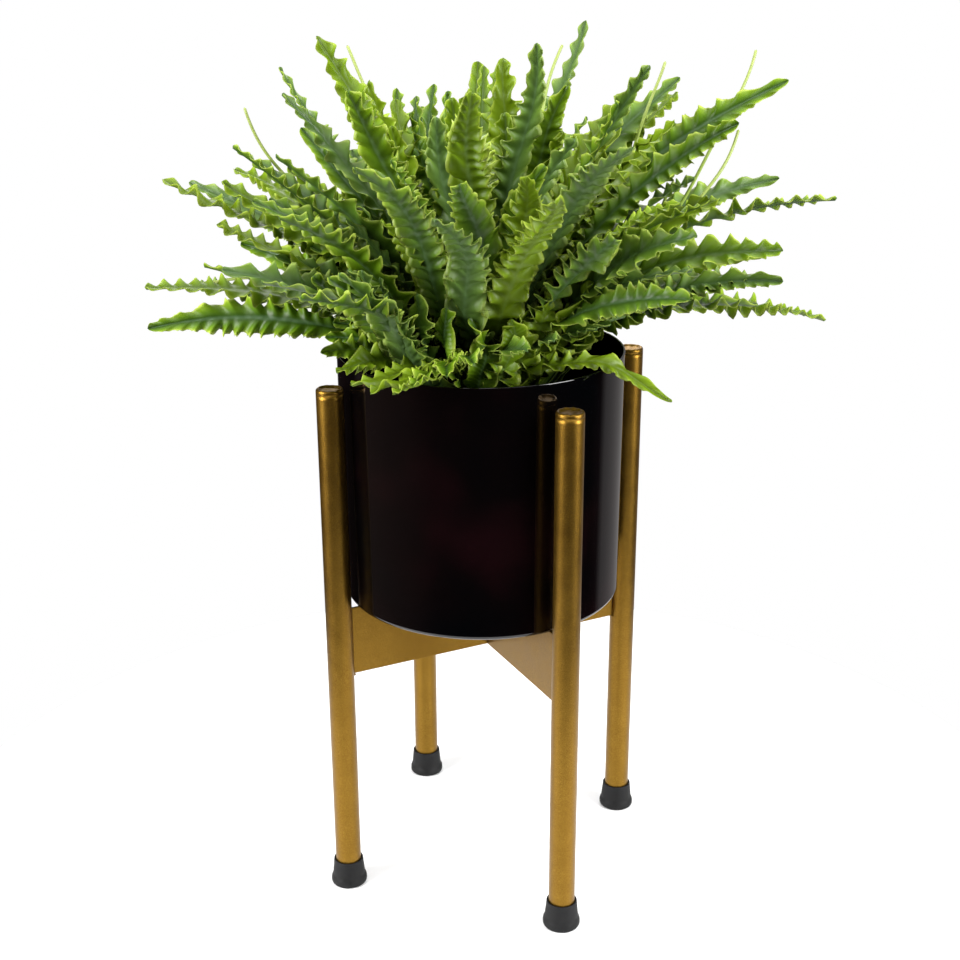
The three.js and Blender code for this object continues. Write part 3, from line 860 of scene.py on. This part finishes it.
# The centre line is an arc in a vertical plane that leaves the hub at its elevation and turns down
# steadily; the plane swings out sideways near the hub, and a hanging frond sinks past the rim.
def frondPath(frond, distance):
    droop = math.radians(frond["droop"])
    rise, root = math.radians(frond["elevation"]), math.radians(frond["root"])
    start = fern["hubRadius"] + fern["rootGap"]
    radius = start * math.cos(root) + (math.sin(rise) - np.sin(rise - droop * distance)) / droop
    height = start * math.sin(root) + (np.cos(rise - droop * distance) - math.cos(rise)) / droop
    height = height - frond["hang"] * smoothStep(distance, fern["rimReach"], frond["length"])
    angle = np.radians(frond["azimuth"] + frond["side"] * smoothStep(distance, 0, frond["swing"]))
    points = np.stack([radius * np.cos(angle), radius * np.sin(angle), height], -1)
    return hub + frond["base"] + sway(points if frond["onRim"] else raised(points))


ruffle = {
    "lobe": 0.0128, "samples": 12, "height": 0.0053, "outline": 0.3, "notch": 0.1, "slant": 0.4,
    "jitter": 0.22, "bend": 0.007, "fold": 0.1, "groove": 0.0007, "thickness": 0.0009,
    "edgeThickness": 0.0004, "twist": 16, "tipStart": 0.68, "tipNarrowing": 0.62, "tipRound": 0.955,
    "widthWander": 0.07, "swell": (0.35, 1.4), "lean": 0.003, "rib": 0.0008, "ribShare": 0.12,
}


# a wave that leans over: slow up, quick down
def leaning(phase, lean):
    angle = 2 * math.pi * phase
    return np.sin(angle + lean * np.sin(angle))


# the direction along a path, and the level direction square to it
def sidewaysOf(path):
    along = np.gradient(path, axis=0)
    along /= np.linalg.norm(along, axis=1, keepdims=True)
    across = np.stack([-along[:, 1], along[:, 0], 0 * along[:, 0]], -1)
    return across / np.linalg.norm(across, axis=1, keepdims=True), along


# a random value at each lobe, and straight lines between them, for both sides of a blade
def perLobe(rng, u, lobes, low, high):
    spots = np.arange(lobes + 2)
    sides = [np.interp(u * lobes, spots, rng.uniform(low, high, lobes + 2)) for _ in range(2)]
    return np.stack(sides, -1)


# One blade, as a closed section carried along the centre line. Across it, v runs from -1 to 1:
# the width is a narrow stem, then parallel sides that draw in to a small round tip. Folds run out
# from the rib and forward, as a wave along the blade whose phase falls back with v and whose
# height grows with a power of v. The wave leans towards the tip and differs in height from fold
# to fold. The outline follows the size of a sine, so that round lobes meet at sharp notches. The
# halves tilt up from the rib, and the rib is a groove above and a ridge below.
def frondBlade(frond, seed):
    rng = np.random.default_rng(seed)
    length = frond["length"]
    lobes = max(6, round(length / ruffle["lobe"]))
    stations = lobes * ruffle["samples"]
    u = (np.arange(stations) + 0.5) / stations
    path = frondPath(frond, u * length)
    across, along = sidewaysOf(path)
    bend = ruffle["bend"] * (np.sin(u * rng.uniform(4, 7) + seed) - math.sin(seed)) * smoothStep(u, 0, 1)
    path = path + across * bend[:, None]
    across, along = sidewaysOf(path)
    up = np.cross(along, across)
    turn = frond["roll"] * smoothStep(u, 0.05, 0.8) + ruffle["twist"] * np.sin(u * rng.uniform(3, 6) + seed)
    roll = np.radians(turn)[:, None]
    across, up = across * np.cos(roll) + up * np.sin(roll), up * np.cos(roll) - across * np.sin(roll)
    topHalf = np.array([0.12, 0.32, 0.54, 0.74, 0.9, 1])
    underHalf = np.array([0.25, 0.55, 0.8, 1])
    top = np.concatenate([-topHalf[::-1], [0], topHalf])
    under = np.concatenate([underHalf[::-1], [0], -underHalf])
    v = np.concatenate([top, under])[None, :]
    below = np.concatenate([np.zeros(len(top)), np.ones(len(under))])
    edge = np.abs(v)
    opening = smoothStep(u, 0.0, frond["opening"])
    closing = 1 - ruffle["tipNarrowing"] * smoothStep(u, ruffle["tipStart"], 1)
    roundShare = np.clip((u - ruffle["tipRound"]) / (1 - ruffle["tipRound"]), 0, 0.995)
    closing = closing * np.sqrt(1 - roundShare ** 2)
    half = (frond["stem"] + (frond["width"] - frond["stem"]) * opening) * closing / 2
    half = half * (1 + ruffle["widthWander"] * np.sin(u * rng.uniform(7, 12) + seed))
    drift = 0.6 * np.sin(u[:, None] * rng.uniform(6, 12, 2) + rng.uniform(0, 6, 2))
    drift = drift + perLobe(rng, u, lobes, -ruffle["jitter"], ruffle["jitter"])
    beat = u[:, None] * lobes + rng.uniform(0, 1, 2) + drift
    sideBeat = np.where(v < 0, beat[:, :1], beat[:, 1:]) - ruffle["slant"] * edge
    swell = perLobe(rng, u, lobes, *ruffle["swell"])
    sideSwell = np.where(v < 0, swell[:, :1], swell[:, 1:])
    strength = smoothStep(u, 0.03, 0.22)[:, None] * (half / half.max())[:, None] ** 0.8
    wave = leaning(sideBeat, 0.3) * sideSwell
    scallop = ruffle["outline"] * sideSwell * (1.6 * np.abs(np.sin(math.pi * (sideBeat + 0.3))) ** 0.7 - 1)
    notch = ruffle["notch"] * leaning(2.3 * sideBeat + 0.6 * sideSwell, 0.5)
    outline = 1 + strength * (scallop + notch) * edge ** 2
    lift = ruffle["height"] * frond["ruffle"] * strength * wave * edge ** 1.5
    fold = ruffle["fold"] * (frond["width"] / 2) * opening[:, None] * edge ** 1.2
    nearRib = np.exp(-(v / ruffle["ribShare"]) ** 2)
    groove = -ruffle["groove"] * nearRib * (1 - below)
    thick = ruffle["edgeThickness"] + (ruffle["thickness"] - ruffle["edgeThickness"]) * (1 - edge)
    rib = ruffle["rib"] * nearRib * (1 - 0.6 * u[:, None])
    height = lift + fold + groove - below * (thick + rib)
    lean = ruffle["lean"] * strength * (0.5 + 0.5 * leaning(sideBeat + 0.25, 0.6)) * edge ** 2
    side = v * half[:, None] * outline
    points = path[:, None] + across[:, None] * side[..., None] + up[:, None] * height[..., None]
    points = points + along[:, None] * lean[..., None]
    ends = np.array([points[0].mean(0), points[-1].mean(0) + along[-1] * length / stations])
    uvGrid = np.stack([u[:, None] + 0 * v, (v + 1) / 2 + 0 * u[:, None]], -1)
    uv = np.vstack([uvGrid.reshape(-1, 2), [[0, 0.5], [1, 0.5]]])
    points = np.vstack([points.reshape(-1, 3), ends])
    # fold height, which the leaf material uses for a painted highlight on fold tops and painted shade in
    # the valleys
    crest = (strength * wave * edge ** 1.2 * (1 - 0.5 * below)).ravel()
    return {
        "points": points,
        "faces": closedTube(stations, v.shape[1]),
        "uv": uv,
        "tint": np.full(len(points), frond["tint"]),
        "crest": np.append(crest, [0, 0]),
    }


# one mesh from several blades, each block of faces counted on from the blades before it
def joinBlades(name, blades):
    first, quads = 0, []
    for blade in blades:
        quads += [block + first for block in blade["faces"]]
        first += len(blade["points"])
    points = np.vstack([blade["points"] for blade in blades])
    uv = np.vstack([blade["uv"] for blade in blades])
    values = {key: np.concatenate([blade[key] for blade in blades]) for key in ("tint", "crest")}
    return faceOut(addMesh(name, points, quads, uv, values))


# the droop goes in a straight line from the lowest elevation's to the highest's
def droopAt(elevation):
    share = (elevation - fern["lowest"]) / (fern["highest"] - fern["lowest"])
    return fern["droopLow"] + (fern["droopHigh"] - fern["droopLow"]) * share


# Each spray is turned on by the golden angle, and the sine of its elevation grows by equal steps,
# which spreads the sprays evenly. Those of the crown are shorter.
def sprayInSpiral(index):
    share = (index + 0.5) / fern["sprays"]
    low, high = math.sin(math.radians(fern["lowest"])), math.sin(math.radians(fern["highest"]))
    elevation = math.degrees(math.asin(low + (high - low) * share))
    crown = float(smoothStep(elevation, fern["crownStart"], fern["highest"]))
    length = fern["length"] + (fern["crownLength"] - fern["length"]) * crown
    length = length + fern["lengthVariation"] * vary(index, 1)
    return {
        "azimuth": fern["start"] + index * fern["goldenAngle"],
        "elevation": elevation,
        "droop": droopAt(elevation),
        "length": sprayLengths.get(index, length),
        "hands": [-1, 0, 1],
        **sprayChanges.get(index, {}),
    }


# a spray is a main frond and one on each side of it; their faces turn a little to the front
def frondsOfSpray(spray, index):
    def someWidth(channel):
        return fern["width"] * (1 + fern["widthVariation"] * vary(index, channel))

    leanFront = fern["faceFront"] * math.sin(math.radians(spray["azimuth"] - fern["frontAzimuth"]))
    leanFront *= math.cos(math.radians(spray["elevation"]))
    main = {
        "side": 0,
        "swing": fern["sideSwing"],
        "hang": 0,
        "onRim": False,
        "base": np.zeros(3),
        "opening": fern["opening"],
        "root": spray["elevation"],
        "roll": fern["roll"] * vary(index, 2) + leanFront,
        "width": someWidth(9),
        "stem": fern["stem"],
        "ruffle": 1 + fern["ruffleVariation"] * vary(index, 7),
        "tint": 0.5 + 0.5 * vary(index, 8),
        **spray,
    }
    swing = fern["sideAngle"] / max(math.cos(math.radians(spray["elevation"])), fern["steepestCosine"])
    fronds = []
    for hand in spray["hands"]:
        if hand == 0:
            fronds.append(main)
            continue
        fronds.append({
            **main,
            "side": hand * swing,
            "elevation": spray["elevation"] - fern["sideDrop"],
            "length": spray["length"] * (fern["sideShare"] + fern["sideVariation"] * vary(index, 3 + hand)),
            "roll": fern["roll"] * vary(index, 5 + hand) + leanFront,
            "tint": 0.5 + 0.5 * vary(index, 10 + hand),
            "width": someWidth(12 + hand),
        })
    return fronds


# the sprays of the spiral, then the single low fronds at the rim and the loose ones
def buildFronds():
    for index in range(fern["sprays"]):
        fronds = frondsOfSpray(sprayInSpiral(index), index)
        blades = [frondBlade(frond, 100 + index * 5 + k) for k, frond in enumerate(fronds)]
        piece = joinBlades(f"spray_{index + 1:02d}", blades)
        settle(piece, leafPlastic, "fern", "fern_plastic", f"fern_spray_{index + 1:02d}")
    for i, change in enumerate(rimFronds + looseFronds):
        spray = {
            "elevation": fern["rimElevation"],
            "droop": fern["rimDroop"],
            "root": fern["rimRoot"],
            "hands": [0],
            "onRim": True,
            **change,
        }
        frond = frondsOfSpray(spray, fern["sprays"] + i)[0]
        piece = joinBlades(f"rim_{i + 1}", [frondBlade(frond, 400 + i)])
        stoodFor = [f"rim_frond_{i + 1}"] if i < len(rimFronds) else []
        settle(piece, leafPlastic, "fern", "fern_plastic", *stoodFor)


# swings are how far a value strays either way; seed and index set each group's random draws
filler = {
    "front": {
        "count": 26, "arc": 125, "radius": 0.044, "radiusSwing": 0.3, "azimuthSwing": 30,
        "depth": -0.03, "elevation": 66, "elevationSwing": 14, "length": 0.11,
        "lengthSwing": 0.35,
        "look": {"root": 66, "droop": 120, "opening": 0.3, "onRim": True},
        "index": 60, "seed": 600,
    },
    "side": {
        "count": 14, "azimuth": 38, "azimuthStep": 14, "elevation": 46, "elevationSwing": 8,
        "length": 0.15, "lengthSwing": 0.18,
        "look": {"root": 34, "droop": 150, "opening": 0.3, "onRim": True},
        "index": 80, "seed": 650,
    },
    "mouth": {
        "count": 30, "azimuthSwing": 14, "elevation": 33, "elevationSwing": 8, "length": 0.106,
        "lengthSwing": 0.14,
        "look": {"root": 20, "droop": 310, "opening": 0.55, "onRim": True, "width": 0.0165},
        "index": 130, "seed": 800,
    },
    "crown": {
        "count": 36, "azimuth": 75, "sines": (0.6, 0.39), "length": 0.168, "lengthSwing": 0.22,
        "look": {"droop": 110, "opening": 0.3},
        "index": 90, "seed": 700,
    },
}


# one filler of a group, of the group's length and look and what else is given for it
def addFiller(group, i, lengthChannel, **own):
    settings = filler[group]
    length = settings["length"] * (1 + settings["lengthSwing"] * vary(i, lengthChannel))
    spray = {"length": length, "hands": [0], **settings["look"], **own}
    frond = frondsOfSpray(spray, settings["index"] + i)[0]
    piece = joinBlades(f"filler_{group}_{i + 1:02d}", [frondBlade(frond, settings["seed"] + i)])
    settle(piece, leafPlastic, "fern", "fern_plastic")


# Short leafy fronds between the sprays. Those at the front stand in the foam in an arc ahead of
# the hub. The others grow from the hub: to both sides in turn, round the pot's mouth in equal
# steps, and at the crown in a golden spiral of their own.
def buildFillers():
    front, side, mouth, crown = (filler[group] for group in ("front", "side", "mouth", "crown"))
    for i in range(front["count"]):
        share = (i + 0.5) / front["count"] * 2 - 1
        azimuth = fern["frontAzimuth"] + front["arc"] * share
        out = front["radius"] * (1 + front["radiusSwing"] * vary(i, 21))
        a = math.radians(azimuth)
        base = np.array([out * math.cos(a), out * math.sin(a), front["depth"]])
        azimuth = azimuth + front["azimuthSwing"] * vary(i, 22)
        elevation = front["elevation"] + front["elevationSwing"] * vary(i, 23)
        addFiller("front", i, 24, azimuth=azimuth, elevation=elevation, base=base)
    for i in range(side["count"]):
        hand = 1 if i % 2 else -1
        azimuth = fern["frontAzimuth"] + hand * (side["azimuth"] + side["azimuthStep"] * (i // 2))
        elevation = side["elevation"] + side["elevationSwing"] * vary(i, 26)
        addFiller("side", i, 27, azimuth=azimuth, elevation=elevation)
    for i in range(mouth["count"]):
        azimuth = 360 * i / mouth["count"] + mouth["azimuthSwing"] * vary(i, 31)
        elevation = mouth["elevation"] + mouth["elevationSwing"] * vary(i, 34)
        addFiller("mouth", i, 35, azimuth=azimuth, elevation=elevation)
    for i in range(crown["count"]):
        lowest, rise = crown["sines"]
        elevation = math.degrees(math.asin(lowest + rise * ((i + 0.5) / crown["count"])))
        azimuth = crown["azimuth"] + i * fern["goldenAngle"]
        addFiller("crown", i, 25, azimuth=azimuth, elevation=elevation, root=elevation)


tendril = {"thick": 0.0034, "thin": 0.0021, "waver": 0.008, "start": 0.08, "steps": 70, "sides": 12}

# azimuth, elevation, length, bow upwards, bow to the left
tendrils = [
    (158, 61, 0.25, 0, -0.019),
    (75, 66, 0.24, 0, -0.008),
    (50, 55, 0.255, -0.029, 0),
    (41, 46, 0.3, -0.037, 0),
    (28, 42, 0.245, -0.026, 0),
    (177, 45, 0.25, -0.024, 0),
    (21, 83, 0.18, -0.011, 0),
    (8, 47, 0.19, -0.02, 0),
    (-128, 32, 0.13, 0.021, 0),
    (-159, 20, 0.2, 0.02, 0),
    (-152, 39, 0.15, 0.047, 0),
    (-56, 59, 0.12, 0, -0.05),
]


# A thin round stem on a straight line from the hub to its tip, bowed off the line by arch upwards
# and by side to the left, as 4t(1 - t), with a small waver, and thinner towards the tip.
def tendrilPiece(index, azimuth, elevation, length, arch, side):
    steps, sides = tendril["steps"], tendril["sides"]
    share = np.linspace(tendril["start"], 1, steps)[:, None]
    a, e = math.radians(azimuth), math.radians(elevation)
    ahead = np.array([math.cos(a) * math.cos(e), math.sin(a) * math.cos(e), math.sin(e)])
    upwards = np.array([-math.cos(a) * math.sin(e), -math.sin(a) * math.sin(e), math.cos(e)])
    left = np.array([-math.sin(a), math.cos(a), 0])
    bow = 4 * share * (1 - share)
    waver = tendril["waver"] * share * np.sin(share * 9 + index)
    path = hub + share * length * ahead + bow * arch * upwards
    path = path + (bow * side + waver) * left + waver * np.cos(share * 5) * upwards
    across, along = sidewaysOf(path)
    up = np.cross(along, across)
    radius = (tendril["thick"] + (tendril["thin"] - tendril["thick"]) * share)[:, :, None] / 2
    turn = np.arange(sides) * 2 * math.pi / sides
    ring = across[:, None] * np.cos(turn)[:, None] + up[:, None] * np.sin(turn)[:, None]
    points = (path[:, None] + ring * radius).reshape(-1, 3)
    points = np.vstack([points, path[:1], path[-1:] + along[-1:] * 0.001])
    uv = np.stack([np.repeat(share[:, 0], sides), np.tile(turn / (2 * math.pi), steps)], -1)
    uv = np.vstack([uv, [[0, 0.5], [1, 0.5]]])
    piece = faceOut(addMesh(f"tendril_{index + 1:02d}", points, closedTube(steps, sides), uv))
    return settle(piece, tendrilPlastic, "fern", "fern_plastic")


def buildFern():
    dress(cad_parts["foam_block"], greenFoam)
    dress(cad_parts["bush_stem"], tendrilPlastic)
    buildFronds()
    buildFillers()
    for index, row in enumerate(tendrils):
        tendrilPiece(index, *row)


buildFern()
print("fern ready")
